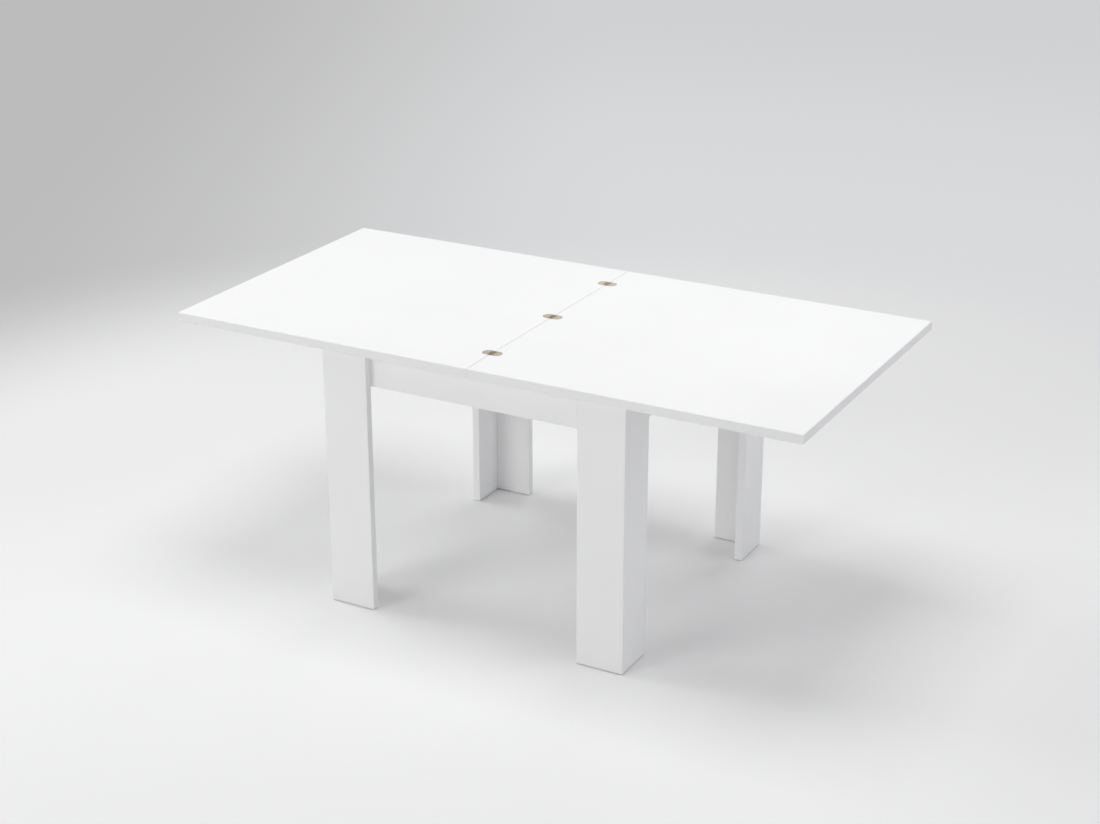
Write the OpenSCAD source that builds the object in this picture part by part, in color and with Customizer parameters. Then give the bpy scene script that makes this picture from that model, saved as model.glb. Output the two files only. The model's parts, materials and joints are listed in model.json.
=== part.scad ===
// Square table whose double top slides along its frame and folds open like a book.
// All lengths are in millimetres. The origin is on the floor, under the middle of the table.
// X runs along the opened top, Y runs from the front to the back, and Z runs up.
// At rest the top is open. The left leaf slides to the right, and the right leaf folds over it.

/* [Top] */
// Length of one leaf, from the middle of the seam to its outer end
leaf_length = 900; // [800:10:1000]
// Depth of the top, from its front edge to its back edge
leaf_depth = 900; // [800:10:1000]
// Height of the opened top above the floor
top_height = 754; // [720:1:780]
// Thickness of each leaf
leaf_thickness = 25; // [22:1:32]
// Gap between the two leaves at the seam
seam_gap = 0.8; // [0.6:0.1:1.2]
// Thickness of the band on a leaf's edges
band_thickness = 2; // [2:0.1:3]
// Rounding along the outer edges of a band
band_radius = 1.9; // [1.7:0.1:2]

/* [Frame] */
// Overhang of the closed top past the legs, on every side
overhang = 10; // [5:1:30]
// Height of the aprons
apron_height = 88; // [76:1:120]
// Thickness of the aprons
apron_thickness = 22; // [20:1:28]
// Height of the leaves above the top of the frame
frame_gap = 1; // [0.8:0.1:2]
// Air between the glide strips and the leaves
slide_gap = 0.2; // [0.1:0.05:0.4]
// Width of the glide strips on the aprons
strip_width = 14; // [8:1:20]
// Distance from a glide strip's ends to the corners of the frame
strip_inset = 30; // [24:1:60]

/* [Legs] */
// Width of a leg, across its front or back face
leg_width = 132; // [100:1:180]
// Depth of a leg, along the ends of the table
leg_depth = 130; // [100:1:180]
// Thickness of the leg boards
leg_board = 22; // [20:1:28]
// Diameter of the foot glides
glide_diameter = 16; // [12:1:20]
// Height of the foot glides
glide_height = 2; // [1:0.5:5]
// Distance from a leg's free edge to the middle of a foot glide
glide_inset = 22; // [12:1:40]
// Diameter of the nail on a foot glide
nail_diameter = 2.4; // [2:0.1:3]
// Length of the nail on a foot glide
nail_length = 14; // [8:1:20]

/* [Runners] */
// Height of the channels on the long aprons
channel_height = 26; // [22:1:32]
// Depth of the channels, out from the apron
channel_depth = 16; // [13:1:24]
// Thickness of a channel's web
channel_web = 3; // [2.6:0.2:4]
// Thickness of a channel's flanges
channel_flange = 2.5; // [2:0.5:4]
// Distance of the channels below the top of the frame
channel_drop = 2; // [1:0.5:6]
// Distance from a channel's end to the short apron
channel_end_gap = 4; // [2:1:10]
// Length of the end stops in a channel
stop_length = 8; // [5:1:20]
// Space between a rail's shoe and an end stop
stop_clear = 0.5; // [0.3:0.1:1]
// Length of a nylon shoe
shoe_length = 40; // [25:1:60]
// Clearance round a shoe in its channel
shoe_clear = 0.3; // [0.2:0.1:0.6]
// Thickness of the slide rails
rail_thickness = 2.5; // [2:0.5:3]
// Distance from a channel's lip to the slide rail's web
rail_offset = 2; // [1:0.5:4]
// Width of the slide rail's flange under the leaf
rail_flange = 26; // [20:1:40]
// Wall of a shoe behind the slide rail's foot
shoe_wall = 2; // [1.5:0.5:4]
// Distance from a slide rail's end to its first screw
rail_screw_inset = 22; // [15:1:60]
// Distance from a channel's end to its first screw
channel_screw_inset = 42; // [20:1:80]

/* [Hinges] */
// Length of an opened hinge, across the seam
hinge_length = 54; // [50:1:70]
// Width of a hinge, along the seam
hinge_width = 31; // [29:1:40]
// Radius of a hinge's rounded ends
hinge_end_radius = 16.5; // [16.5:0.5:24]
// Distance from the front or back edge of the top to the middle of the nearest hinge
hinge_inset = 130; // [80:5:200]
// Thickness of the hinge plates
plate_thickness = 3; // [2.8:0.2:4]
// Distance between the two pins of a hinge
pin_spacing = 6; // [6:0.2:8]
// Depth of the pins below the top surface
pin_depth = 2.5; // [2.3:0.1:2.6]
// Diameter of the pins
pin_diameter = 2.5; // [2:0.1:2.8]
// Distance from a pin's ends to the sides of the hinge
pin_inset = 0.5; // [0.2:0.1:2]
// Width of the link between the pins
link_width = 9; // [7:0.5:12]
// Height of the link between its round ends
link_waist = 4; // [3:0.5:4.5]
// Reach of the thick part of a hinge plate from the seam
knuckle_reach = 8; // [7:0.5:10]
// Depth of the thick part of a hinge plate
knuckle_depth = 5; // [4.9:0.1:6]
// Distance from the seam to the hinge screws
hinge_screw_x = 15.5; // [13:0.5:18]
// Distance from the middle of a hinge to its screws, along the seam
hinge_screw_y = 9.5; // [6:0.5:10]

/* [Fasteners] */
// Diameter of the wood screws
screw_diameter = 3.5; // [3:0.1:4.5]
// Length of the wood screws
screw_length = 16; // [12:1:19]
// Length of a wood screw's point
screw_point = 4; // [2:1:6]
// Diameter of a countersunk screw head
sink_diameter = 7.5; // [6.5:0.1:8]
// Height of a countersunk screw head
sink_height = 2; // [1.6:0.1:2.4]
// Diameter of a pan screw head
pan_diameter = 8; // [7:0.5:10]
// Height of a pan screw head
pan_height = 2.4; // [2:0.2:3]
// Length of the cross recess in a screw head
recess_length = 4; // [3:0.5:5]
// Width of the cross recess in a screw head
recess_width = 0.9; // [0.6:0.1:1.2]
// Depth of the cross recess in a screw head
recess_depth = 1.1; // [0.8:0.1:1.5]
// Diameter of the leg bolts
bolt_diameter = 6; // [5:1:8]
// Length of a leg bolt's shank
bolt_length = 34; // [33:1:35]
// Diameter of a leg bolt's head
bolt_head_diameter = 13; // [10:1:16]
// Height of a leg bolt's head
bolt_head_height = 3.5; // [3:0.5:5]
// Key size of the socket in a leg bolt's head
bolt_key = 4; // [3:1:5]
// Depth of the socket in a leg bolt's head
bolt_key_depth = 2.2; // [1.5:0.1:2.5]
// Height of the lower leg bolts above the bottom of the aprons
bolt_rise = 16; // [12:1:20]
// Distance between the lower and upper leg bolts
bolt_pitch = 28; // [22:1:30]
// Distance from a leg's free edge to the leg bolts
bolt_inset = 25; // [15:1:35]
// Diameter of the threaded inserts in the legs
insert_diameter = 10; // [9:1:12]
// Length of the threaded inserts
insert_length = 13; // [10:1:15]
// Diameter of the wooden dowels
dowel_diameter = 8; // [6:1:10]
// Length of the wooden dowels
dowel_length = 30; // [24:1:36]
// Depth of a dowel in the face of a board
dowel_seat = 11; // [8:1:14]
// Diameter of the cams
cam_diameter = 15; // [12:1:18]
// Depth of the cams
cam_depth = 15.5; // [15:0.5:18]
// Distance from a short apron's end to the middle of its cam
cam_setback = 34; // [24:1:34]
// Diameter of the cam bolts
cam_bolt_diameter = 6; // [5:0.5:7]
// Depth of a cam bolt in the long apron
cam_bolt_seat = 11; // [8:1:14]

/* [Clearances] */
// Radial clearance of screws, dowels, nails and inserts in their holes
fit_clear = 0.05; // [0.03:0.01:0.1]
// Radial clearance of a pin in a hinge plate
seat_clear = 0.02; // [0.01:0.01:0.04]
// Radial running clearance of a pin in a link
pin_clear = 0.05; // [0.03:0.01:0.1]
// Clearance round a hinge plate in its mortise, and under its thick part
mortise_clear = 0.15; // [0.1:0.05:0.3]
// Clearance round a link in its slot
link_clear = 0.2; // [0.15:0.05:0.3]
// Depth of the links and screw heads below the surface of the top
flush_clear = 0.1; // [0.05:0.05:0.2]
// Space past the end of a screw, dowel, bolt or insert in its hole
end_clear = 0.5; // [0.3:0.1:1]

/* [Hidden] */

// Length by which cutting tools pass through a surface
cut = 1;
// Number of sides shown on round parts
round_sides = 48;
// Number of steps in the rounding of a band
band_steps = 6;
// Number of screws along a channel and along a slide rail
channel_screw_count = 5;
rail_screw_count = 4;

// Heights
leaf_bottom = top_height - leaf_thickness;
frame_top = leaf_bottom - frame_gap;
apron_bottom = frame_top - apron_height;
bolt_heights = [apron_bottom + bolt_rise, apron_bottom + bolt_rise + bolt_pitch];
cam_height = apron_bottom + apron_height / 2;
frame_dowel_heights = [apron_bottom + apron_height / 4, frame_top - apron_height / 4];
leg_dowel_heights = [for (part = [1, 3, 5]) glide_height + part * (apron_bottom - glide_height) / 6];
channel_top = frame_top - channel_drop;
channel_middle = channel_top - channel_height / 2;

// Outside of the legs, and the outer and inner faces of the aprons, from the middle of the table
leg_x = leaf_length / 2 - overhang;
leg_y = leaf_depth / 2 - overhang;
apron_x = leg_x - leg_board;
apron_y = leg_y - leg_board;
inner_x = apron_x - apron_thickness;
inner_y = apron_y - apron_thickness;

// The closed top is centred on the frame, so it travels half of a leaf
travel = leaf_length / 2;
channel_half = inner_x - channel_end_gap;
stop_x = channel_half - stop_length;
rail_start = -stop_x + stop_clear;
rail_length = 2 * (stop_x - stop_clear) - travel;
rail_web_near = channel_depth + rail_offset;
rail_screw_out = rail_web_near + (rail_thickness + rail_flange) / 2;
rail_screw_x = [
    for (i = [0 : rail_screw_count - 1])
        rail_start + rail_screw_inset
            + i * (rail_length - 2 * rail_screw_inset) / (rail_screw_count - 1)
];
channel_screw_x = [
    for (i = [0 : channel_screw_count - 1])
        (channel_half - channel_screw_inset) * (2 * i / (channel_screw_count - 1) - 1)
];
shoe_x = [rail_start, rail_start + rail_length - shoe_length];

// Hinges
hinge_y = [hinge_inset - leaf_depth / 2, 0, leaf_depth / 2 - hinge_inset];
hinge_arc_x = hinge_length / 2 - hinge_end_radius;
pin_x = pin_spacing / 2;
link_radius = pin_depth - flush_clear;
link_slot_end = pin_x + link_radius + link_clear;

// Finishes
board_white = [0.94, 0.94, 0.94];
band_white = [0.92, 0.92, 0.92];
beech = [0.82, 0.66, 0.46];
brass = [0.76, 0.68, 0.52];
zinc = [0.72, 0.72, 0.73];
alloy = [0.78, 0.79, 0.80];
nylon = [0.90, 0.89, 0.86];
felt = [0.80, 0.80, 0.79];
dark_plastic = [0.22, 0.22, 0.23];

// A block between two values on each axis
module block(x, y, z) {
    translate([x[0], y[0], z[0]]) cube([x[1] - x[0], y[1] - y[0], z[1] - z[0]]);
}

// Puts what is drawn at the back and right into another corner or side
module toward(side_x, side_y) {
    mirror([side_x < 0 ? 1 : 0, 0, 0]) mirror([0, side_y < 0 ? 1 : 0, 0]) children();
}

module in_four_corners() {
    for (side_x = [-1, 1], side_y = [-1, 1]) toward(side_x, side_y) children();
}

// A round bar from the origin along +Z, used for pins and for their holes
module bar(diameter, length, clear = 0) {
    cylinder(d = diameter + 2 * clear, h = length, $fn = round_sides);
}

// The cross in a screw head, cut down from the origin
module cross_recess() {
    for (angle = [0, 90]) rotate(angle)
        translate([-recess_length / 2, -recess_width / 2, -recess_depth])
            cube([recess_length, recess_width, recess_depth + cut]);
}

// A screw's shank and point, down from the origin
module screw_shank() {
    translate([0, 0, screw_point - screw_length]) bar(screw_diameter, screw_length - screw_point);
    translate([0, 0, -screw_length])
        cylinder(d1 = screw_diameter / 5, d2 = screw_diameter, h = screw_point, $fn = round_sides);
}

// A countersunk screw whose head is level with the origin
module countersunk_screw() {
    difference() {
        union() {
            translate([0, 0, -sink_height])
                cylinder(d1 = screw_diameter, d2 = sink_diameter, h = sink_height, $fn = round_sides);
            screw_shank();
        }
        cross_recess();
    }
}

// A pan head screw whose head stands on the origin
module pan_screw() {
    difference() {
        union() {
            bar(pan_diameter, pan_height);
            screw_shank();
        }
        translate([0, 0, pan_height]) cross_recess();
    }
}

// The countersunk hole for a screw through a plate, from the plate's surface at the origin
module sink_hole() {
    translate([0, 0, -sink_height - flush_clear])
        cylinder(d1 = screw_diameter + 2 * flush_clear, d2 = sink_diameter + 2 * flush_clear,
            h = sink_height, $fn = round_sides);
    translate([0, 0, -flush_clear - fit_clear])
        bar(sink_diameter + 2 * flush_clear, flush_clear + fit_clear + cut);
    translate([0, 0, -screw_length]) bar(screw_diameter + 2 * flush_clear, screw_length);
}

// The hole for a screw's shank in a board
module screw_hole() {
    translate([0, 0, -screw_length - end_clear])
        bar(screw_diameter, screw_length + end_clear + cut, fit_clear);
}

// The places of the leg bolts, each with +Z pointing out of the table, at the aprons' outer faces
module at_leg_bolts(on_end) {
    for (height = bolt_heights)
        if (on_end)
            translate([apron_x, leg_y - leg_depth + bolt_inset, height]) rotate([0, 90, 0]) children();
        else
            translate([leg_x - leg_width + bolt_inset, apron_y, height]) rotate([-90, 0, 0]) children();
}

// The places of the frame's dowels, with +Z pointing into the short apron
module at_frame_dowels() {
    for (height = frame_dowel_heights)
        translate([apron_x - apron_thickness / 2, inner_y, height]) rotate([90, 0, 0]) children();
}

// The place of a cam bolt, with +Z pointing into the short apron
module at_cam_bolt() {
    translate([apron_x - apron_thickness / 2, inner_y, cam_height]) rotate([90, 0, 0]) children();
}

// The place of a cam, with +Z pointing into the short apron from its inner face
module at_cam() {
    translate([inner_x, inner_y - cam_setback, cam_height]) rotate([0, 90, 0]) children();
}

// The places of a leg's dowels, with +Z pointing into the return board
module at_leg_dowels() {
    for (height = leg_dowel_heights)
        translate([leg_x - leg_board / 2, leg_y - leg_board, height]) rotate([90, 0, 0]) children();
}

// A dowel, or its hole, across the joint between two boards
module dowel(clear = 0, gap = 0) {
    translate([0, 0, -dowel_seat - gap]) bar(dowel_diameter, dowel_length + 2 * gap, clear);
}

// The places of the screws in a channel, with +Z pointing away from the apron
module at_channel_screws() {
    for (x = channel_screw_x)
        translate([x, inner_y - channel_web, channel_middle]) rotate([90, 0, 0]) children();
}

// The places of the screws in a slide rail, with +Z pointing down
module at_rail_screws() {
    for (x = rail_screw_x)
        translate([x, inner_y - rail_screw_out, leaf_bottom - rail_thickness])
            rotate([180, 0, 0]) children();
}

// The back apron, from corner to corner behind the legs
module long_apron() {
    color(board_white)
    difference() {
        block([-apron_x, apron_x], [inner_y, apron_y], [apron_bottom, frame_top]);
        at_channel_screws() screw_hole();
        for (side = [-1, 1]) toward(side, 1) {
            at_leg_bolts(false) translate([0, 0, -apron_thickness - cut])
                bar(bolt_diameter, apron_thickness + 2 * cut, fit_clear);
            at_frame_dowels() dowel(fit_clear, end_clear);
            at_cam_bolt() translate([0, 0, -cam_bolt_seat])
                bar(cam_bolt_diameter, cam_bolt_seat + cut, fit_clear);
        }
    }
}

// The right apron, between the two long aprons
module short_apron() {
    color(board_white)
    difference() {
        block([inner_x, apron_x], [-inner_y, inner_y], [apron_bottom, frame_top]);
        for (side = [-1, 1]) toward(1, side) {
            at_leg_bolts(true) translate([0, 0, -apron_thickness - cut])
                bar(bolt_diameter, apron_thickness + 2 * cut, fit_clear);
            at_frame_dowels() dowel(fit_clear, end_clear);
            at_cam_bolt() translate([0, 0, -cut])
                bar(cam_bolt_diameter, cam_setback + cut, fit_clear);
            at_cam() translate([0, 0, -cut]) bar(cam_diameter, cam_depth + end_clear + cut, fit_clear);
        }
    }
}

// The holes for the foot glides' nails
module nail_holes() {
    at_foot_glides() bar(nail_diameter, glide_height + nail_length + end_clear, fit_clear);
}

// The board on the leg's front or back face
module leg_face() {
    color(board_white)
    difference() {
        block([leg_x - leg_width, leg_x], [leg_y - leg_board, leg_y], [glide_height, frame_top]);
        at_leg_bolts(false) translate([0, 0, -cut])
            bar(insert_diameter, insert_length + end_clear + cut, fit_clear);
        at_leg_dowels() dowel(fit_clear, end_clear);
        nail_holes();
    }
}

// The board on the leg's side, behind the face board
module leg_return() {
    color(board_white)
    difference() {
        block([leg_x - leg_board, leg_x], [leg_y - leg_depth, leg_y - leg_board],
            [glide_height, frame_top]);
        at_leg_bolts(true) translate([0, 0, -cut])
            bar(insert_diameter, insert_length + end_clear + cut, fit_clear);
        at_leg_dowels() dowel(fit_clear, end_clear);
        nail_holes();
    }
}

module leg_dowels() {
    color(beech) in_four_corners() at_leg_dowels() dowel();
}

module frame_dowels() {
    color(beech) in_four_corners() at_frame_dowels() dowel();
}

// Each cam has a slot for its bolt and a cross for the screwdriver
module frame_cams() {
    color(zinc)
    in_four_corners() difference() {
        at_cam() bar(cam_diameter, cam_depth);
        at_cam_bolt() bar(cam_bolt_diameter, cam_setback + end_clear, fit_clear);
        at_cam() rotate([180, 0, 0]) cross_recess();
    }
}

module frame_cam_bolts() {
    color(zinc)
    in_four_corners() at_cam_bolt() translate([0, 0, end_clear - cam_bolt_seat])
        bar(cam_bolt_diameter, cam_bolt_seat + cam_setback - 2 * end_clear);
}

// A leg bolt from the inside of an apron, with a six-sided socket in its head
module leg_bolt() {
    difference() {
        union() {
            translate([0, 0, -apron_thickness]) bar(bolt_diameter, bolt_length);
            translate([0, 0, -apron_thickness - bolt_head_height])
                bar(bolt_head_diameter, bolt_head_height);
        }
        translate([0, 0, -apron_thickness - bolt_head_height - cut])
            cylinder(d = bolt_key / cos(30), h = bolt_key_depth + cut, $fn = 6);
    }
}

module leg_bolts() {
    color(zinc) in_four_corners() {
        at_leg_bolts(false) leg_bolt();
        at_leg_bolts(true) leg_bolt();
    }
}

// The threaded sleeves that the leg bolts screw into
module leg_inserts() {
    color(zinc)
    in_four_corners() for (on_end = [false, true]) at_leg_bolts(on_end) difference() {
        bar(insert_diameter, insert_length);
        translate([0, 0, -cut]) bar(bolt_diameter, insert_length + 2 * cut, fit_clear);
    }
}

// The places of the foot glides under a leg: at its corner and near its two free edges
module at_foot_glides() {
    middle_x = leg_x - leg_board / 2;
    middle_y = leg_y - leg_board / 2;
    for (place = [
        [middle_x, middle_y],
        [leg_x - leg_width + glide_inset, middle_y],
        [middle_x, leg_y - leg_depth + glide_inset]
    ]) translate(place) children();
}

module foot_glides() {
    color(dark_plastic) in_four_corners() at_foot_glides() {
        bar(glide_diameter, glide_height);
        bar(nail_diameter, glide_height + nail_length);
    }
}

// Thin strips along the tops of the aprons, which the leaves glide over
module long_glide_strip() {
    middle = apron_y - apron_thickness / 2;
    color(felt) block([strip_inset - apron_x, apron_x - strip_inset],
        [middle - strip_width / 2, middle + strip_width / 2], [frame_top, leaf_bottom - slide_gap]);
}

module short_glide_strip() {
    middle = apron_x - apron_thickness / 2;
    color(felt) block([middle - strip_width / 2, middle + strip_width / 2],
        [strip_inset - apron_y, apron_y - strip_inset], [frame_top, leaf_bottom - slide_gap]);
}

// A bar with the given outline, from x = start, at the back of the table.
// The outline's first value is the distance from the apron, and its second is the height.
module runner_bar(outline, start, length) {
    translate([start, inner_y, 0]) rotate([90, 0, 90]) linear_extrude(length)
        mirror([1, 0]) polygon(outline);
}

// The open channel on the inside of a long apron
module channel() {
    low = channel_top - channel_height;
    color(alloy) difference() {
        runner_bar([
            [0, low], [channel_depth, low], [channel_depth, low + channel_flange],
            [channel_web, low + channel_flange], [channel_web, channel_top - channel_flange],
            [channel_depth, channel_top - channel_flange], [channel_depth, channel_top],
            [0, channel_top]
        ], -channel_half, 2 * channel_half);
        at_channel_screws() sink_hole();
    }
}

module channel_screws() {
    color(zinc) for (side = [-1, 1]) toward(1, side)
        at_channel_screws() translate([0, 0, -flush_clear]) countersunk_screw();
}

// Blocks in the ends of the channels, which stop the shoes
module channel_stops() {
    color(dark_plastic) in_four_corners()
        block([stop_x, channel_half], [inner_y - channel_depth, inner_y - channel_web],
            [channel_top - channel_height + channel_flange, channel_top - channel_flange]);
}

// The rail under the sliding leaf: its foot reaches into the channel through the shoes
module slide_rail() {
    near = rail_web_near;
    far = near + rail_thickness;
    foot = channel_web + shoe_clear + shoe_wall;
    foot_low = channel_middle - rail_thickness / 2;
    foot_high = channel_middle + rail_thickness / 2;
    color(alloy) difference() {
        runner_bar([
            [foot, foot_low], [far, foot_low], [far, leaf_bottom - rail_thickness],
            [near + rail_flange, leaf_bottom - rail_thickness], [near + rail_flange, leaf_bottom],
            [near, leaf_bottom], [near, foot_high], [foot, foot_high]
        ], rail_start, rail_length);
        at_rail_screws() translate([0, 0, -rail_thickness - cut])
            bar(screw_diameter, rail_thickness + 2 * cut, flush_clear);
    }
}

module rail_screws() {
    color(zinc) for (side = [-1, 1]) toward(1, side) at_rail_screws() pan_screw();
}

// The nylon shoes at both ends of the rails, each grooved for the rail's foot
module rail_shoes() {
    wall = channel_web + shoe_clear;
    low = channel_top - channel_height + channel_flange + shoe_clear;
    high = channel_top - channel_flange - shoe_clear;
    groove_low = channel_middle - rail_thickness / 2 - fit_clear;
    groove_high = channel_middle + rail_thickness / 2 + fit_clear;
    color(nylon) for (side = [-1, 1], start = shoe_x) toward(1, side)
        runner_bar([
            [wall, low], [channel_depth, low], [channel_depth, groove_low],
            [wall + shoe_wall - fit_clear, groove_low], [wall + shoe_wall - fit_clear, groove_high],
            [channel_depth, groove_high], [channel_depth, high], [wall, high]
        ], start, shoe_length);
}

// The outline of a hinge plate on the right of the seam, grown by a clearance
module hinge_outline(start, grow) {
    half_width = hinge_width / 2 + grow;
    difference() {
        translate([start, -half_width]) square([hinge_length / 2 + cut, 2 * half_width]);
        difference() {
            translate([hinge_arc_x, -hinge_width]) square([hinge_length, 2 * hinge_width]);
            translate([hinge_arc_x, 0]) circle(r = hinge_end_radius + grow, $fn = 2 * round_sides);
        }
    }
}

// The places of a hinge's screws on the right of the seam, at the top surface
module at_hinge_screws() {
    for (side = [-1, 1]) translate([hinge_screw_x, side * hinge_screw_y, 0]) children();
}

// A round bar along the pin on the right of the seam, over the given width
module pin_bar(diameter, width, clear = 0) {
    translate([pin_x, width / 2, -pin_depth]) rotate([90, 0, 0]) bar(diameter, width, clear);
}

// One plate of a hinge, on the right of the seam, with its top surface at the origin's height
module hinge_plate() {
    color(brass) difference() {
        union() {
            translate([0, 0, -plate_thickness]) linear_extrude(plate_thickness)
                hinge_outline(pin_x, 0);
            block([pin_x, knuckle_reach], [-hinge_width / 2, hinge_width / 2], [-knuckle_depth, 0]);
            pin_bar(2 * link_radius, hinge_width);
        }
        block([-cut, link_slot_end], [-link_width / 2 - link_clear, link_width / 2 + link_clear],
            [-knuckle_depth - cut, cut]);
        pin_bar(pin_diameter, hinge_width + 2 * cut, seat_clear);
        at_hinge_screws() sink_hole();
    }
}

module hinge_screws() {
    color(brass) for (y = hinge_y) translate([0, y, top_height])
        at_hinge_screws() translate([0, 0, -flush_clear]) countersunk_screw();
}

module hinge_pins() {
    color(brass) for (y = hinge_y) translate([0, y, top_height])
        pin_bar(pin_diameter, hinge_width - 2 * pin_inset);
}

// The link that joins the two pins of a hinge
module hinge_link() {
    color(brass) difference() {
        union() {
            for (side = [-1, 1]) toward(side, 1) pin_bar(2 * link_radius, link_width);
            block([-pin_x, pin_x], [-link_width / 2, link_width / 2],
                [-pin_depth - link_waist / 2, -pin_depth + link_waist / 2]);
        }
        for (side = [-1, 1]) toward(side, 1) pin_bar(pin_diameter, link_width + 2 * cut, pin_clear);
    }
}

// The mortises and screw holes for the three hinges, on the right of the seam
module hinge_mortises() {
    half_width = hinge_width / 2 + mortise_clear;
    for (y = hinge_y) translate([0, y, top_height]) {
        translate([0, 0, -plate_thickness]) linear_extrude(plate_thickness + cut)
            hinge_outline(-cut, mortise_clear);
        block([-cut, knuckle_reach + mortise_clear], [-half_width, half_width],
            [-knuckle_depth - mortise_clear, cut]);
        at_hinge_screws() screw_hole();
    }
}

// The board of the right leaf, inside its bands
module leaf_board() {
    difference() {
        block([seam_gap / 2 + band_thickness, leaf_length - band_thickness],
            [band_thickness - leaf_depth / 2, leaf_depth / 2 - band_thickness],
            [leaf_bottom, top_height]);
        hinge_mortises();
    }
}

// The cross-section of a band: its flat outer face is at the first axis's zero
function band_profile() = concat(
    [[band_thickness, 0]],
    [for (i = [0 : band_steps]) let (turn = 90 * i / band_steps)
        [band_radius * (1 - sin(turn)), band_radius * (1 - cos(turn))]],
    [for (i = [0 : band_steps]) let (turn = 90 * i / band_steps)
        [band_radius * (1 - cos(turn)), leaf_thickness - band_radius * (1 - sin(turn))]],
    [[band_thickness, leaf_thickness]]
);

// A band along X with mitred ends, its outer face towards -Y and its bottom at the origin
module band(length) {
    intersection() {
        translate([-length / 2, 0, 0]) rotate([90, 0, 90]) linear_extrude(length)
            polygon(band_profile());
        linear_extrude(leaf_thickness) polygon([
            [-length / 2, 0], [length / 2, 0],
            [length / 2 - band_thickness, band_thickness],
            [band_thickness - length / 2, band_thickness]
        ]);
    }
}

module front_band() {
    length = leaf_length - seam_gap / 2;
    color(band_white) translate([leaf_length - length / 2, -leaf_depth / 2, leaf_bottom]) band(length);
}

module outer_band() {
    color(band_white) translate([leaf_length, 0, leaf_bottom]) rotate(90) band(leaf_depth);
}

module seam_band() {
    color(band_white) difference() {
        translate([seam_gap / 2, 0, leaf_bottom]) rotate(-90) band(leaf_depth);
        hinge_mortises();
    }
}

// The board of the left leaf, which also holds the slide rails' screws
module sliding_leaf() {
    color(board_white) difference() {
        toward(-1, 1) leaf_board();
        for (side = [-1, 1]) toward(1, side)
            at_rail_screws() screw_hole();
    }
}

module hinge_piece(index) {
    translate([0, hinge_y[index], top_height]) children();
}

toward(1, -1) long_apron();  // front_apron
long_apron();  // back_apron
toward(-1, 1) short_apron();  // left_apron
short_apron();  // right_apron
toward(-1, -1) leg_face();  // front_left_leg_face
toward(-1, -1) leg_return();  // front_left_leg_return
toward(1, -1) leg_face();  // front_right_leg_face
toward(1, -1) leg_return();  // front_right_leg_return
toward(-1, 1) leg_face();  // back_left_leg_face
toward(-1, 1) leg_return();  // back_left_leg_return
leg_face();  // back_right_leg_face
leg_return();  // back_right_leg_return
leg_dowels();
frame_dowels();
frame_cams();
frame_cam_bolts();
leg_bolts();
leg_inserts();
foot_glides();
toward(1, -1) long_glide_strip();  // front_glide_strip
long_glide_strip();  // back_glide_strip
toward(-1, 1) short_glide_strip();  // left_glide_strip
short_glide_strip();  // right_glide_strip
toward(1, -1) channel();  // front_channel
channel();  // back_channel
channel_screws();
channel_stops();
sliding_leaf();
toward(-1, 1) front_band();  // sliding_leaf_front_band
toward(-1, -1) front_band();  // sliding_leaf_back_band
toward(-1, 1) outer_band();  // sliding_leaf_outer_band
toward(-1, 1) seam_band();  // sliding_leaf_seam_band
toward(1, -1) slide_rail();  // front_slide_rail
slide_rail();  // back_slide_rail
rail_screws();
rail_shoes();
hinge_piece(0) toward(-1, 1) hinge_plate();  // front_hinge_left_plate
hinge_piece(1) toward(-1, 1) hinge_plate();  // middle_hinge_left_plate
hinge_piece(2) toward(-1, 1) hinge_plate();  // back_hinge_left_plate
toward(-1, 1) hinge_screws();  // left_hinge_screws
toward(-1, 1) hinge_pins();  // left_hinge_pins
hinge_piece(0) hinge_link();  // front_hinge_link
hinge_piece(1) hinge_link();  // middle_hinge_link
hinge_piece(2) hinge_link();  // back_hinge_link
color(board_white) leaf_board();  // folding_leaf
front_band();  // folding_leaf_front_band
toward(1, -1) front_band();  // folding_leaf_back_band
outer_band();  // folding_leaf_outer_band
seam_band();  // folding_leaf_seam_band
hinge_piece(0) hinge_plate();  // front_hinge_right_plate
hinge_piece(1) hinge_plate();  // middle_hinge_right_plate
hinge_piece(2) hinge_plate();  // back_hinge_right_plate
hinge_screws();  // right_hinge_screws
hinge_pins();  // right_hinge_pins
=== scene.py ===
"""The looks of an extendable table whose double top slides along its frame and folds like a book.

The boards are white melamine with banded edges, the link hinges in the top are brass, and the
runners under it are aluminium. Lengths are in metres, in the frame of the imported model.
"""

import json
import math

import bmesh
import bpy
import numpy as np
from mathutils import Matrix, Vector


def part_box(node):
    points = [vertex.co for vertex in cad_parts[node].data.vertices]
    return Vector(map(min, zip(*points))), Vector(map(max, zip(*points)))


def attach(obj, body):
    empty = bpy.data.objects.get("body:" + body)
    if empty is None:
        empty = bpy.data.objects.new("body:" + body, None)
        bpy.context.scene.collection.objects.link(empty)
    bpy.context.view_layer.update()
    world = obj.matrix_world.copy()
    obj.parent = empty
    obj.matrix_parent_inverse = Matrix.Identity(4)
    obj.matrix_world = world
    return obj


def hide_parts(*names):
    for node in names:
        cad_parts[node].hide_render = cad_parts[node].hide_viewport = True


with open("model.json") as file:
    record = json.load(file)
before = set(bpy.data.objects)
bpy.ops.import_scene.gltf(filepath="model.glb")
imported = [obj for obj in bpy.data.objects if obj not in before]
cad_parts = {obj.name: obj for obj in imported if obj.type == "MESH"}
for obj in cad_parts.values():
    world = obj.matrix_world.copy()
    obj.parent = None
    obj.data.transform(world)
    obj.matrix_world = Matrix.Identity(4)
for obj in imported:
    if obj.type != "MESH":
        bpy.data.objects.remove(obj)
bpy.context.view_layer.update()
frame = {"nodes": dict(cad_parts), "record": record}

MM = 0.001
CORNERS = ("front_left", "front_right", "back_left", "back_right")
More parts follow.
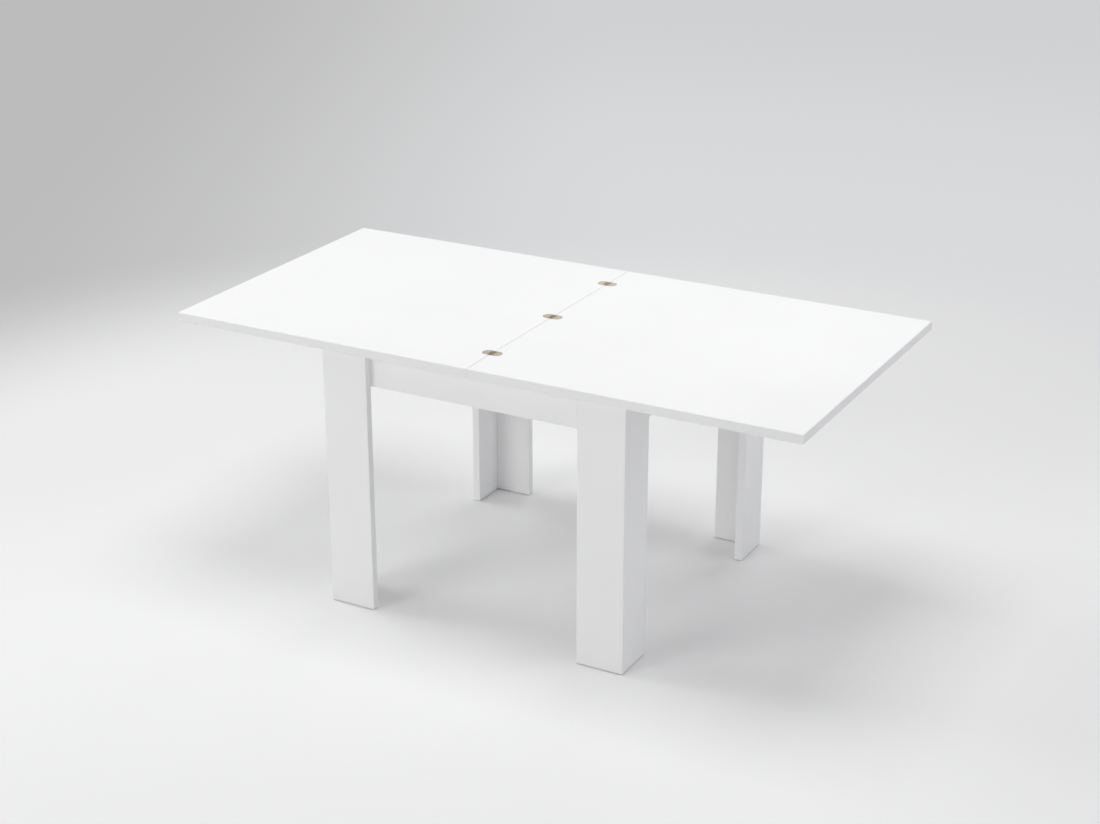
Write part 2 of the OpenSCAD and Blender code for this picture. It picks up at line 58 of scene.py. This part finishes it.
LEAVES = ("sliding_leaf", "folding_leaf")
HINGES = ("front", "middle", "back")

# Camera, solved from the corners of the top and the legs in the photograph
PHOTO_WIDTH = 1100
FOCAL_LENGTH_IN_PIXELS = 2038.78
SENSOR_WIDTH_IN_MM = 36
CAMERA_PLACE = (2.4579, -4.5152, 2.5375)
CAMERA_TURN = math.radians(28.640)
CAMERA_DOWN = math.radians(21.809)
CAMERA_REACH = 200.0

# Boards
BAND_ON_LEGS = 1.0 * MM
LEG_EDGE_RADIUS = 1.0 * MM
LEG_CORNER_RADIUS = 0.8 * MM
JOINT_LINE = 0.15 * MM
JOINT_SHIFT = 0.3
LEAST_CORNER_RADIUS = 0.1 * MM

# How much darker than the face a band and the joint beside it are
RIM_SHADE = 0.975
JOINT_SHADE = 0.72

# Distance of the points that keep a flat face flat from the arc beside it, and steps in an arc
SUPPORT = 0.4 * MM
ARC_STEPS = 6

# Angles past which an edge is sharp: on computed pieces, on copies of solids, and for rounding
SHARP_ON_TUBES = math.radians(35)
SHARP_ON_COPIES = math.radians(32)
SHARP_FOR_ROUNDING = math.radians(40)

# What copies of solids lose: points this close together, and edges this nearly flat
MERGE_DISTANCE = 0.002 * MM
FLAT_WITHIN = math.radians(0.5)

# Widths of the rounding on the edges of copies
APRON_EASE = 0.3 * MM
HINGE_EASE = 0.2 * MM
HINGE_SCREW_EASE = 0.12 * MM
PROFILE_EASE = 0.25 * MM
MOULDING_EASE = 0.4 * MM
FASTENING_EASES = {
    "channel_screws": 0.1 * MM, "rail_screws": 0.3 * MM, "leg_bolts": 0.3 * MM,
    "leg_inserts": 0.2 * MM, "frame_cams": 0.3 * MM, "frame_cam_bolts": 0.2 * MM,
    "leg_dowels": 0.6 * MM, "frame_dowels": 0.6 * MM, "foot_glides": 0.4 * MM,
}

# Bands on the leaves
BAND_THICKNESS = 2 * MM
BAND_RADIUS = 1.9 * MM

# Hinges, as their shading needs them
HINGE_PITCH = 320 * MM
HINGE_ARC_MIDDLE = 10.5 * MM
HINGE_END_RADIUS = 16.5 * MM
HINGE_HALF_WIDTH = 15.5 * MM
HINGE_SCREW_X = 15.5 * MM
HINGE_SCREW_Y = 9.5 * MM
SCREW_HEAD_RADIUS = 3.75 * MM

# Strength of the sky, as the light of the scene and as metal shows it
AMBIENT = 0.326
HAZE = 0.64

# For each lamp its place, the point that it faces, its width and height, its watts and its colour
NEUTRAL = (1.0, 1.0, 1.0)
FAINT_GREEN = (0.99, 1.0, 0.99)
FAINT_BLUE = (0.93, 0.94, 1.0)
LAMPS = {
    "overhead_box": ((0, 0, 4.8), (0, 0, 0), (2.4, 2.4), 67, NEUTRAL),
    "front_left_box": ((-3, -6, 3), (0, 0, 0.4), (3, 3), 115, NEUTRAL),
    "front_right_box": ((3.4, -5.6, 1.1), (0, 0, 0.4), (2.5, 1.8), 31, NEUTRAL),
    "left_box": ((-5, -0.3, 4.2), (0, 0, 0.4), (3, 3), 105, FAINT_GREEN),
    "right_box": ((6, 0.5, 3), (0, 0, 0.4), (4, 4), 70, FAINT_BLUE),
    "back_box": ((0, 6.5, 3.5), (0, 0, 0.3), (5, 3), 110, NEUTRAL),
}

# Floor: half its width, its white, the brighter white that the camera sees at the front right as
# painted light, and the way between them
FLOOR_REACH = 60.0
FLOOR_WHITE_AND_PAINTED_LIGHT = (0.84, 0.91)
FLOOR_PAINTED_LIGHT_TURN = math.radians(45)
FLOOR_PAINTED_LIGHT_FROM = -1.2
FLOOR_PAINTED_LIGHT_TO = 0.7

# Backdrop: the distances from the table between which the floor turns into it, and the colours of
# its glow, painted darker on the left and in the distance as painted shade
FLOOR_NEAR = 2.0
FLOOR_FAR = 3.4
BACKDROP_FAR = 8.5
BACKDROP_LEFT_EDGE = -2.5
BACKDROP_RIGHT_EDGE = 0.5
BACKDROP_LEFT = (0.505, 0.505, 0.505)
BACKDROP_NEAR_RIGHT = (0.7, 0.704, 0.716)
BACKDROP_FAR_RIGHT = (0.637, 0.64, 0.65)


# Node trees

class Value:
    """A socket of a node tree. Python's arithmetic on it adds Math nodes."""

    def __init__(self, recipe, socket):
        self.recipe = recipe
        self.socket = socket

    def _math(self, operation, *terms):
        return self.recipe.node("ShaderNodeMath", {"operation": operation}, dict(enumerate(terms)))

    def __add__(self, other):
        return self._math("ADD", self, other)

    def __sub__(self, other):
        return self._math("SUBTRACT", self, other)

    def __mul__(self, other):
        return self._math("MULTIPLY", self, other)

    def __abs__(self):
        return self._math("ABSOLUTE", self)

    def __rsub__(self, other):
        return self._math("SUBTRACT", other, self)

    def least(self, other):
        return self._math("MINIMUM", self, other)

    def most(self, other):
        return self._math("MAXIMUM", self, other)

    def beside(self, other):
        """The length of a step of this much one way and of the other one square to it."""
        return self._math("SQRT", self * self + other * other)

    def wrapped(self, pitch):
        """The distance from the nearest whole number of pitches, with its sign."""
        return self._math("WRAP", self, pitch / 2, -pitch / 2)

    __radd__ = __add__
    __rmul__ = __mul__


class Recipe:
    """A node tree being written, for a material or for the world."""

    def __init__(self, tree):
        self.tree = tree
        tree.nodes.clear()

    def node(self, kind, settings=None, inputs=None, output=0):
        """Adds one node: first its settings, then the values or links of its sockets."""
        made = self.tree.nodes.new(kind)
        for name, value in (settings or {}).items():
            setattr(made, name, value)
        for name, value in (inputs or {}).items():
            if isinstance(value, Value):
                self.tree.links.new(value.socket, made.inputs[name])
            else:
                made.inputs[name].default_value = value
        return Value(self, made.outputs[output]) if made.outputs else None

    def place(self, stretch=(1, 1, 1)):
        """The object's own coordinates, stretched along its axes."""
        here = self.node("ShaderNodeTexCoord", output="Object")
        return self.node("ShaderNodeMapping", {}, {"Vector": here, "Scale": stretch})

    def axis(self, index, turn=0.0):
        """One of the object's own coordinates, after a turn of the axes about Z."""
        here = self.node("ShaderNodeTexCoord", output="Object")
        turned = self.node("ShaderNodeMapping", {}, {"Vector": here, "Rotation": (0, 0, turn)})
        return self.node("ShaderNodeSeparateXYZ", {}, {"Vector": turned}, output=index)

    def noise(self, scale, detail=2.0, stretch=(1, 1, 1), roughness=0.5):
        """Cloudy noise from 0 to 1 with the given number of grains to a metre."""
        return self.node("ShaderNodeTexNoise", {}, {
            "Vector": self.place(stretch), "Scale": scale, "Detail": detail, "Roughness": roughness,
        })

    def mark(self, name):
        """A number that the mesh carries at its points, or 0 where it carries none."""
        return self.node("ShaderNodeAttribute", {"attribute_name": name}, output="Fac")

    def between(self, value, low, high):
        """0 below low, 1 above high, and smooth between them."""
        return self.node("ShaderNodeMapRange", {"interpolation_type": "SMOOTHSTEP"}, {
            "Value": value, "From Min": low, "From Max": high,
        })

    def tint(self, share, first, second):
        """The first colour, turning into the second as share goes from 0 to 1."""
        return self.node("ShaderNodeMix", {"data_type": "RGBA"}, {
            0: share, 6: colour(first), 7: colour(second),
        }, output=2)

    def bump(self, height, distance, strength=1.0):
        """A normal that follows the height, which stands for the distance where it is 1."""
        return self.node("ShaderNodeBump", {}, {
            "Strength": strength, "Distance": distance, "Height": height,
        })


def colour(value):
    """A colour or a link as a socket takes it: a grey or three numbers become four."""
    if isinstance(value, Value):
        return value
    if isinstance(value, (int, float)):
        return (value, value, value, 1.0)
    return (*value, 1.0)


def scaled(shade, factor):
    """A colour made lighter or darker."""
    return tuple(factor * part for part in shade)


def finish(name, write, **constants):
    """A material: write(recipe) gives the varying sockets, and constants stay as they are."""
    material = bpy.data.materials.new(name)
    material.use_nodes = True
    recipe = Recipe(material.node_tree)
    sockets = {**constants, **write(recipe)}
    surface = recipe.node("ShaderNodeBsdfPrincipled", {}, {
        key.replace("_", " "): value for key, value in sockets.items()
    })
    recipe.node("ShaderNodeOutputMaterial", {}, {"Surface": surface})
    return material


# Finishes

def melamine(light, dark, smooth):
    """White foil pressed on board: a slow drift of tone, and a fine pearl in its surface."""
    def write(recipe):
        drift = recipe.noise(2.2, 3)
        pearl = recipe.noise(1500, 2)
        peel = recipe.noise(210, 2)
        rim = recipe.mark("rim")
        joint = recipe.mark("joint")
        dirt = recipe.between(drift * 0.7 + pearl * 0.3, 0.3, 0.75)
        face = recipe.tint(dirt, light, dark)
        banded = recipe.tint(rim, face, scaled(light, RIM_SHADE))
        return {
            "Base_Color": recipe.tint(joint, banded, scaled(light, JOINT_SHADE)),
            "Roughness": smooth + 0.12 * drift - 0.05 * rim + 0.03 * pearl,
            "Normal": recipe.bump(0.55 * pearl + 0.45 * peel - 0.8 * joint, 0.05 * MM, 0.35),
        }
    return write


def brass_metal(recipe):
    """Rolled brass, dulled in patches and scratched, with painted shade over its middle round the
    pivots, and with painted shade and tarnish along its edges and round its screws.

    The depth inside the edge is the smaller of the distance from the straight sides and the
    distance from the arcs of the ends; the ring is the distance from the nearest screw's middle.
    """
    across = abs(recipe.axis(0))
    along = abs(recipe.axis(1).wrapped(HINGE_PITCH))
    from_arc = (across - HINGE_ARC_MIDDLE).most(0.0).beside(along)
    inside = (HINGE_HALF_WIDTH - along).least(HINGE_END_RADIUS - from_arc)
    ring = (across - HINGE_SCREW_X).beside(along - HINGE_SCREW_Y) - SCREW_HEAD_RADIUS
    cloud = recipe.noise(420, 3)
    # Painted shade with tarnish: near-black along the plates' edges and in a ring round each screw,
    # where this share is 0
    clear_of_shade_and_tarnish = recipe.between(inside.least(2.4 * ring) - 0.9 * MM * cloud, -0.2 * MM, 1.6 * MM)
    dull = recipe.between(recipe.noise(160, 4), 0.38, 0.68)
    scratch = recipe.noise(40, 3, stretch=(4, 60, 4))
    fine = recipe.noise(3200, 1)
    polished = recipe.tint(dull, (0.72, 0.61, 0.41), (0.54, 0.455, 0.3))
    # Painted shade: the plates turn dark towards the middle, round the link and its pivots, where
    # this share is 0
    outer = recipe.between(across + 3 * MM * cloud, 3 * MM, 15 * MM)
    plate = recipe.tint(outer, (0.25, 0.21, 0.14), polished)
    return {
        # Near-black where painted shade and tarnish lie along the edges and round the screws
        "Base_Color": recipe.tint(clear_of_shade_and_tarnish, (0.1, 0.082, 0.055), plate),
        "Roughness": 0.5 - 0.22 * clear_of_shade_and_tarnish + 0.14 * dull + 0.1 * scratch,
        "Normal": recipe.bump(0.7 * scratch + 0.3 * fine, 0.02 * MM, 0.5),
    }


def bright_brass_metal(recipe):
    """The turned heads of the hinge screws, brighter than the plates."""
    worn = recipe.noise(900, 2)
    return {
        "Base_Color": recipe.tint(worn, (0.97, 0.94, 0.87), (0.86, 0.82, 0.72)),
        "Roughness": 0.2 + 0.14 * worn,
        "Normal": recipe.bump(worn, 0.015 * MM, 0.4),
    }


def aluminium_metal(recipe):
    """Extruded aluminium, with die lines that run along the profile."""
    lines = recipe.noise(30, 3, stretch=(0.15, 40, 40))
    cloud = recipe.noise(24, 2)
    return {
        "Base_Color": recipe.tint(lines, (0.82, 0.83, 0.84), (0.7, 0.71, 0.73)),
        "Roughness": 0.3 + 0.12 * lines + 0.08 * cloud,
        "Normal": recipe.bump(lines, 0.03 * MM, 0.5),
    }


def zinc_metal(recipe):
    """Bright zinc plate on steel, faintly clouded."""
    cloud = recipe.noise(420, 3)
    return {
        "Base_Color": recipe.tint(cloud, (0.78, 0.8, 0.84), (0.62, 0.64, 0.68)),
        "Roughness": 0.22 + 0.2 * cloud,
        "Normal": recipe.bump(cloud, 0.02 * MM, 0.3),
    }


def nylon_plastic(recipe):
    """Natural nylon: off-white, waxy, with the faint flow marks of the mould."""
    flow = recipe.noise(70, 3, stretch=(1, 3, 3))
    grain = recipe.noise(2400, 1)
    return {
        "Base_Color": recipe.tint(flow, (0.82, 0.8, 0.74), (0.74, 0.72, 0.66)),
        "Roughness": 0.38 + 0.12 * flow,
        "Normal": recipe.bump(0.5 * flow + 0.5 * grain, 0.03 * MM, 0.4),
    }


def dark_moulding(recipe):
    """Dark grey moulded plastic with a fine spark-eroded grain."""
    grain = recipe.noise(1900, 2)
    scuff = recipe.between(recipe.noise(240, 4), 0.55, 0.8)
    return {
        "Base_Color": recipe.tint(scuff, 0.03, 0.06),
        "Roughness": 0.42 + 0.2 * grain + 0.1 * scuff,
        "Normal": recipe.bump(grain, 0.05 * MM, 0.5),
    }


def pressed_felt(recipe):
    """Light grey felt: tangled fibres of two sizes, with paler tips."""
    fibre = recipe.noise(900, 4, stretch=(0.35, 1, 1), roughness=0.7)
    tangle = recipe.noise(260, 3, stretch=(1, 0.5, 1))
    return {
        "Base_Color": recipe.tint(0.6 * fibre + 0.4 * tangle, 0.5, 0.72),
        "Roughness": 0.85 + 0.12 * fibre,
        "Normal": recipe.bump(0.6 * fibre + 0.4 * tangle, 0.25 * MM, 0.8),
    }


def beech_wood(recipe):
    """Turned beech: straight grain with short dark flecks."""
    grain = recipe.noise(60, 4, stretch=(8, 1, 8))
    fleck = recipe.between(recipe.noise(700, 1, stretch=(1, 0.2, 1)), 0.66, 0.74)
    wood = recipe.tint(grain, (0.68, 0.5, 0.31), (0.56, 0.39, 0.22))
    return {
        "Base_Color": recipe.tint(0.6 * fleck, wood, (0.36, 0.22, 0.12)),
        "Roughness": 0.5 + 0.2 * grain,
        "Normal": recipe.bump(grain - 0.5 * fleck, 0.06 * MM, 0.5),
    }


WHITE_FACE = finish("white_melamine", melamine((0.9, 0.9, 0.905), (0.87, 0.87, 0.875), 0.48),
                    Specular_IOR_Level=0.25)
WHITE_BAND = finish("white_edging", melamine((0.875, 0.875, 0.88), (0.85, 0.85, 0.855), 0.38),
                    Specular_IOR_Level=0.4)
BRASS = finish("dulled_brass", brass_metal, Metallic=1.0)
BRIGHT_BRASS = finish("bright_brass", bright_brass_metal, Metallic=1.0)
ALUMINIUM = finish("extruded_aluminium", aluminium_metal, Metallic=1.0)
ZINC = finish("zinc_plate", zinc_metal, Metallic=1.0)
NYLON = finish("natural_nylon", nylon_plastic)
DARK_PLASTIC = finish("dark_plastic", dark_moulding)
FELT = finish("grey_felt", pressed_felt, Sheen_Weight=0.3, Sheen_Roughness=0.5)
BEECH = finish("turned_beech", beech_wood)

MATERIAL_OF_SLOT = {
    "melamine_board": WHITE_FACE,
    "edge_band": WHITE_BAND,
    "brass": BRASS,
    "aluminium_profile": ALUMINIUM,
    "zinc_plated_steel": ZINC,
    "nylon": NYLON,
    "dark_plastic": DARK_PLASTIC,
    "felt": FELT,
    "beech": BEECH,
}
SLOT_OF_NODE = {part["node"]: part["material_slot"] for part in frame["record"]["subparts"]}
BODY_OF_NODE = {
    node: body
    for body, nodes in frame["record"]["behaviour"]["bodies"].items()
    for node in nodes
}


# Meshes

def stand_for(piece, node, material=None):
    """Puts a finished piece on the body of the CAD node that it shows instead."""
    piece.data.materials.clear()
    piece.data.materials.append(material or MATERIAL_OF_SLOT[SLOT_OF_NODE[node]])
    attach(piece, BODY_OF_NODE[node])
    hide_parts(node)
    return piece


def tube_faces(rings, around):
    """Quads of a tube whose rings are closed, with a flat face over its first and last ring."""
    ring = np.arange(rings - 1)[:, None] * around
    here = np.arange(around)[None, :]
    after = (here + 1) % around
    quads = np.stack(
        [ring + here, ring + after, ring + around + after, ring + around + here], axis=-1
    )
    first = list(range(around))[::-1]
    last = list(range((rings - 1) * around, rings * around))
    return quads.reshape(-1, 4).tolist() + [first, last]


def tube(name, points, marks=None):
    """A closed piece from an array of rings of points, with its faces turned outwards."""
    rings, around = points.shape[:2]
    mesh = bpy.data.meshes.new(name)
    mesh.from_pydata(points.reshape(-1, 3).tolist(), [], tube_faces(rings, around))
    for mark, values in (marks or {}).items():
        layer = mesh.attributes.new(mark, "FLOAT", "POINT")
        layer.data.foreach_set("value", np.repeat(values, around).astype(np.float32))
    work = bmesh.new()
    work.from_mesh(mesh)
    bmesh.ops.recalc_face_normals(work, faces=work.faces)
    work.to_mesh(mesh)
    work.free()
    return shown(name, mesh, SHARP_ON_TUBES)


def shown(name, mesh, sharp_angle):
    """An object in the scene for the mesh, smooth except where its faces meet sharply."""
    mesh.shade_smooth()
    mesh.set_sharp_from_angle(angle=sharp_angle)
    piece = bpy.data.objects.new(name, mesh)
    bpy.context.scene.collection.objects.link(piece)
    return piece


def rounded_outline(half_width, half_height, radius):
    """A rectangle with round corners, as points in a plane.

    At corner k the points are the centre of its arc plus the radius times (cos a, sin a), with a
    from k to k + 1 quarter turns. A point of support on each straight side, next to each arc,
    keeps the flats flat when they are shaded smooth.
    """
    turn = np.linspace(0, np.pi / 2, ARC_STEPS + 1)
    angle = np.arange(4)[:, None] * np.pi / 2 + turn[None, :]
    signs = np.array([[1, 1], [-1, 1], [-1, -1], [1, -1]])
    centre = signs * np.array([half_width - radius, half_height - radius])
    arc = centre[:, None, :] + radius * np.stack([np.cos(angle), np.sin(angle)], axis=-1)
    along = np.stack([-np.sin(angle), np.cos(angle)], axis=-1) * SUPPORT
    before = arc[:, :1] - along[:, :1]
    after = arc[:, -1:] + along[:, -1:]
    return np.concatenate([before, arc, after], axis=1).reshape(-1, 2)


def joint_inset(radius, band):
    """How far in from a board's edge the joint between its band and its face lies."""
    return band + radius * JOINT_SHIFT


def edge_profile(thickness, radius, band):
    """Inset and height from one face of a board, over its edge, to the other face.

    On the lower rounding the inset is r (1 - sin a) and the height r (1 - cos a), for a from 0 to
    a quarter turn, and the upper half mirrors it. The rings near the joint between the band and
    the face lie one joint line apart. Returns the insets, the heights, and the share of joint.
    """
    turn = np.linspace(0, np.pi / 2, ARC_STEPS + 1)
    face = joint_inset(radius, band) + JOINT_LINE * np.array([2, 1, 0, -1])
    inset = np.concatenate([face, radius * (1 - np.sin(turn)), [0]])
    height = np.concatenate([0 * face, radius * (1 - np.cos(turn)), [radius + SUPPORT]])
    joint = np.zeros(len(inset))
    joint[2] = 1
    return (
        np.concatenate([inset, inset[::-1]]),
        np.concatenate([height, thickness - height[::-1]]),
        np.concatenate([joint, joint[::-1]]),
    )


def rounded_board(name, low, high, radius, corner_radius, band):
    """A board between two corners, thin along its shortest side.

    Its surface has two parameters: the place round the outline, and the place along the edge
    profile from the middle of one face to the middle of the other.
    """
    size = np.array(high) - np.array(low)
    middle = (np.array(high) + np.array(low)) / 2
    thin = int(np.argmin(size))
    first, second = [axis for axis in range(3) if axis != thin]
    inset, height, joint = edge_profile(size[thin], radius, band)
    rings = []
    for d, z in zip(inset, height):
        outline = rounded_outline(
            size[first] / 2 - d, size[second] / 2 - d,
            max(corner_radius - d, LEAST_CORNER_RADIUS),
        )
        ring = np.zeros((len(outline), 3))
        ring[:, [first, second]] = outline
        ring[:, thin] = z - size[thin] / 2
        rings.append(ring + middle)
    rim = (inset < joint_inset(radius, band)).astype(float)
    return tube(name, np.array(rings), {"joint": joint, "rim": rim})


def band_section():
    """The closed cross-section of a leaf's band: depth behind its face, and height.

    The lower rounding is depth r (1 - sin a), height r (1 - cos a), and the upper one mirrors it.
    """
    turn = np.linspace(0, np.pi / 2, ARC_STEPS + 1)
    depth = np.concatenate([[BAND_THICKNESS], BAND_RADIUS * (1 - np.sin(turn)), [0]])
    height = np.concatenate([[0], BAND_RADIUS * (1 - np.cos(turn)), [BAND_RADIUS + SUPPORT]])
    return depth, height


def straight_band(name, low, high, outward):
    """A band along one edge of a leaf, with mitred ends.

    It is the cross-section carried along the edge; the ends stop short by the section's depth.
    outward is the axis and the sign of the way that the band faces.
    """
    axis, sign = outward
    run = 1 - axis
    half, top = band_section()
    thickness = high[2] - low[2]
    depth = np.concatenate([half, half[::-1]])
    height = np.concatenate([top, thickness - top[::-1]])
    face = high[axis] if sign > 0 else low[axis]
    ends = np.array([low[run], high[run]])
    points = np.zeros((2, len(depth), 3))
    points[:, :, axis] = face - sign * depth
    points[:, :, run] = ends[:, None] + np.array([1, -1])[:, None] * depth
    points[:, :, 2] = low[2] + height
    return tube(name, points)


def merged_copy(node, name):
    """A copy of a CAD node's surface with its loose triangles joined into whole faces."""
    mesh = frame["nodes"][node].data.copy()
    work = bmesh.new()
    work.from_mesh(mesh)
    bmesh.ops.remove_doubles(work, verts=work.verts, dist=MERGE_DISTANCE)
    bmesh.ops.dissolve_limit(work, angle_limit=FLAT_WITHIN, verts=work.verts, edges=work.edges)
    work.to_mesh(mesh)
    work.free()
    return shown(name, mesh, SHARP_ON_COPIES)


def soften(piece, width, segments=2):
    """Rounds a piece's sharp edges by the given width."""
    rounding = piece.modifiers.new("soft_edges", "BEVEL")
    rounding.width = width
    rounding.segments = segments
    rounding.limit_method = "ANGLE"
    rounding.angle_limit = SHARP_FOR_ROUNDING
    rounding.harden_normals = True
    rounding.use_clamp_overlap = True


# Sub-parts

def legs():
    """The eight boards of the four angle legs."""
    for corner in CORNERS:
        for board in ("face", "return"):
            node = f"{corner}_leg_{board}"
            low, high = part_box(node)
            piece = rounded_board(
                f"{node}_board", low, high, LEG_EDGE_RADIUS, LEG_CORNER_RADIUS, BAND_ON_LEGS
            )
            stand_for(piece, node)


def aprons():
    """The four aprons, with their long edges eased and their bores kept."""
    for side in ("front", "back", "left", "right"):
        piece = merged_copy(f"{side}_apron", f"{side}_apron_board")
        soften(piece, APRON_EASE)
        stand_for(piece, f"{side}_apron")


def leaf_bands():
    """The bands on the outer edges of the leaves, and the notched ones at the seam."""
    outward = {"sliding_leaf": (0, -1), "folding_leaf": (0, 1)}
    for leaf in LEAVES:
        ways = {"front": (1, -1), "back": (1, 1), "outer": outward[leaf]}
        for side, way in ways.items():
            node = f"{leaf}_{side}_band"
            low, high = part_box(node)
            stand_for(straight_band(f"{node}_strip", low, high, way), node)
        node = f"{leaf}_seam_band"
        stand_for(merged_copy(node, f"{node}_strip"), node)


def hinges():
    """The brass hinges in the top."""
    for hinge in HINGES:
        for part in ("left_plate", "link", "right_plate"):
            node = f"{hinge}_hinge_{part}"
            piece = merged_copy(node, f"{node}_brass")
            soften(piece, HINGE_EASE)
            stand_for(piece, node)
    for side in ("left", "right"):
        screws = merged_copy(f"{side}_hinge_screws", f"{side}_hinge_screw_heads")
        soften(screws, HINGE_SCREW_EASE)
        stand_for(screws, f"{side}_hinge_screws", BRIGHT_BRASS)
        pins = merged_copy(f"{side}_hinge_pins", f"{side}_hinge_pin_rods")
        stand_for(pins, f"{side}_hinge_pins")


def runners():
    """The channels, rails, shoes and stops that carry the top."""
    for side in ("front", "back"):
        for part in ("channel", "slide_rail"):
            piece = merged_copy(f"{side}_{part}", f"{side}_{part}_profile")
            soften(piece, PROFILE_EASE)
            stand_for(piece, f"{side}_{part}")
    for node in ("rail_shoes", "channel_stops"):
        piece = merged_copy(node, f"{node}_mouldings")
        soften(piece, MOULDING_EASE)
        stand_for(piece, node)


def fastenings():
    """Screws, bolts, inserts, cams, dowels and foot glides."""
    for node, width in FASTENING_EASES.items():
        piece = merged_copy(node, f"{node}_set")
        soften(piece, width)
        stand_for(piece, node)


def cad_nodes_that_stay():
    """The leaf boards and the felt strips keep their CAD surfaces, in their finishes."""
    for node, piece in frame["nodes"].items():
        piece.data.materials.clear()
        piece.data.materials.append(MATERIAL_OF_SLOT[SLOT_OF_NODE[node]])


# Studio

def camera():
    """The camera of the photograph."""
    data = bpy.data.cameras.new("photo_camera")
    data.sensor_width = SENSOR_WIDTH_IN_MM
    data.lens = FOCAL_LENGTH_IN_PIXELS / PHOTO_WIDTH * SENSOR_WIDTH_IN_MM
    data.clip_end = CAMERA_REACH
    made = bpy.data.objects.new("photo_camera", data)
    bpy.context.scene.collection.objects.link(made)
    made.location = CAMERA_PLACE
    made.rotation_euler = (math.pi / 2 - CAMERA_DOWN, 0, CAMERA_TURN)
    bpy.context.scene.camera = made


def seen_rays(recipe):
    """1 for what the camera sees directly, in a mirror or through glass, and 0 for the light."""
    kinds = ("Is Camera Ray", "Is Glossy Ray", "Is Transmission Ray")
    camera_ray, glossy, through = [recipe.node("ShaderNodeLightPath", output=k) for k in kinds]
    return camera_ray.most(glossy).most(through)


def floor():
    """A plain pale floor that shows only from above, so that views from below see the table.

    To the camera it turns whiter towards the front right, as painted light. Away from the table it
    turns into a glowing backdrop, painted darker on the left and in the distance as painted shade.
    """
    sides = np.array([-FLOOR_REACH, FLOOR_REACH])
    x, y = np.meshgrid(sides, sides)
    points = np.stack([x, y, 0 * x], axis=-1).reshape(-1, 3)
    mesh = bpy.data.meshes.new("studio_floor")
    mesh.from_pydata(points.tolist(), [], [(0, 1, 3, 2)])
    material = bpy.data.materials.new("pale_floor")
    material.use_nodes = True
    recipe = Recipe(material.node_tree)
    # Painted light: to the camera the floor turns whiter towards the front right
    frontward = recipe.axis(0, FLOOR_PAINTED_LIGHT_TURN)
    painted_light_share = recipe.between(frontward, FLOOR_PAINTED_LIGHT_FROM, FLOOR_PAINTED_LIGHT_TO)
    white = recipe.tint(painted_light_share * seen_rays(recipe), *FLOOR_WHITE_AND_PAINTED_LIGHT)
    pale = recipe.node("ShaderNodeBsdfDiffuse", {}, {"Color": white})
    reach = recipe.axis(0).beside(recipe.axis(1))
    distance = recipe.between(reach, FLOOR_FAR, BACKDROP_FAR)
    # Painted shade: the backdrop's glow darkens in the distance and on the left
    right = recipe.tint(distance, BACKDROP_NEAR_RIGHT, BACKDROP_FAR_RIGHT)
    sideways = recipe.axis(0, -CAMERA_TURN)
    side = recipe.between(sideways, BACKDROP_LEFT_EDGE, BACKDROP_RIGHT_EDGE)
    backdrop = recipe.node("ShaderNodeEmission", {}, {
        "Color": recipe.tint(side, BACKDROP_LEFT, right), "Strength": 1.0,
    })
    far = recipe.between(reach, FLOOR_NEAR, FLOOR_FAR) * seen_rays(recipe)
    above = recipe.node("ShaderNodeMixShader", {}, {0: far, 1: pale, 2: backdrop})
    clear = recipe.node("ShaderNodeBsdfTransparent")
    below = recipe.node("ShaderNodeNewGeometry", output="Backfacing")
    surface = recipe.node("ShaderNodeMixShader", {}, {0: below, 1: above, 2: clear})
    recipe.node("ShaderNodeOutputMaterial", {}, {"Surface": surface})
    mesh.materials.append(material)
    made = bpy.data.objects.new("studio_floor", mesh)
    bpy.context.scene.collection.objects.link(made)


def soft_box(name, place, target, size, power, tone):
    """A rectangular lamp at a place, turned to a target, that the camera doesn't see."""
    data = bpy.data.lights.new(name, "AREA")
    data.shape = "RECTANGLE"
    data.size, data.size_y = size
    data.energy = power
    data.color = tone
    lamp = bpy.data.objects.new(name, data)
    bpy.context.scene.collection.objects.link(lamp)
    lamp.location = place
    way = lamp.location - Vector(target)
    lamp.rotation_euler = way.to_track_quat("Z", "Y").to_euler()
    lamp.visible_camera = False


def light():
    """Faint even light from all round, and large soft boxes above the table and beside it."""
    world = bpy.data.worlds.new("soft_studio")
    world.use_nodes = True
    recipe = Recipe(world.node_tree)
    strength = AMBIENT + (HAZE - AMBIENT) * seen_rays(recipe)
    sky = recipe.node("ShaderNodeBackground", {}, {"Color": colour(1.0), "Strength": strength})
    recipe.node("ShaderNodeOutputWorld", {}, {"Surface": sky})
    bpy.context.scene.world = world
    for name, (place, target, size, power, tone) in LAMPS.items():
        soft_box(name, place, target, size, power, tone)


camera()
floor()
light()
cad_nodes_that_stay()
legs()
aprons()
leaf_bands()
hinges()
runners()
fastenings()
bpy.context.scene.view_settings.view_transform = "Standard"
bpy.context.view_layer.update()
